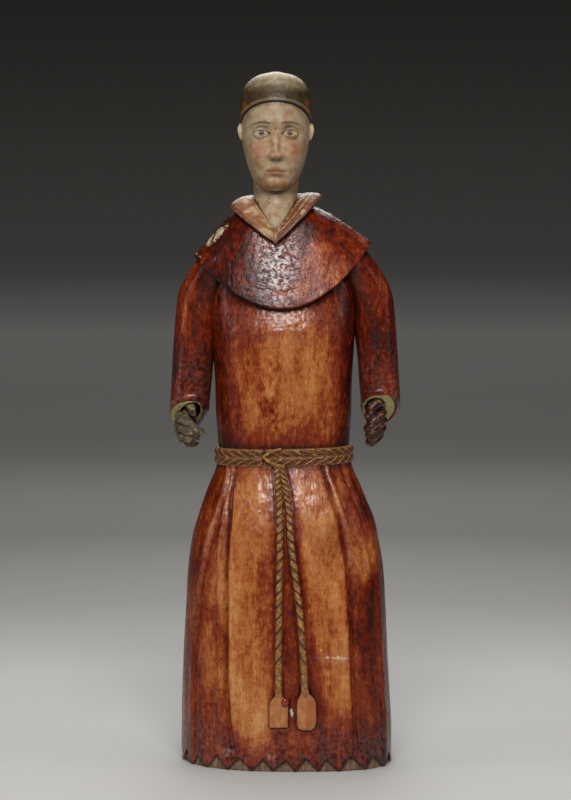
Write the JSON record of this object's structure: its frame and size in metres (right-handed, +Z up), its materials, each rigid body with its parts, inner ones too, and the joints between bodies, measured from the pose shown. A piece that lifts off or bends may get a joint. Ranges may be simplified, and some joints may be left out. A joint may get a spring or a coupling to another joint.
{
  "type": "santo figure",
  "caption": "Standing carved wooden friar figure in a painted habit with short cape, folded collar, rope belt with hanging cords, dagged hem and separately carved hands set in the cuffs.",
  "frame": {"origin": "centre of the flat underside that the figure stands on", "axes": "+Z up along the figure's height; the figure faces -Y and its right hand is at -X"},
  "size_m": [0.2006, 0.1393, 0.6],
  "materials": {
    "polychrome_wood": "red-brown varnished paint over gesso, worn, with a pale painted face and dark hair",
    "right_hand_wood": "bare weathered grey-brown wood",
    "left_hand_wood": "dark red-brown varnished wood"
  },
  "bodies": {
    "root": {"carved_figure": "polychrome_wood", "right_hand": "right_hand_wood", "left_hand": "left_hand_wood"}
  },
  "joints": []
}
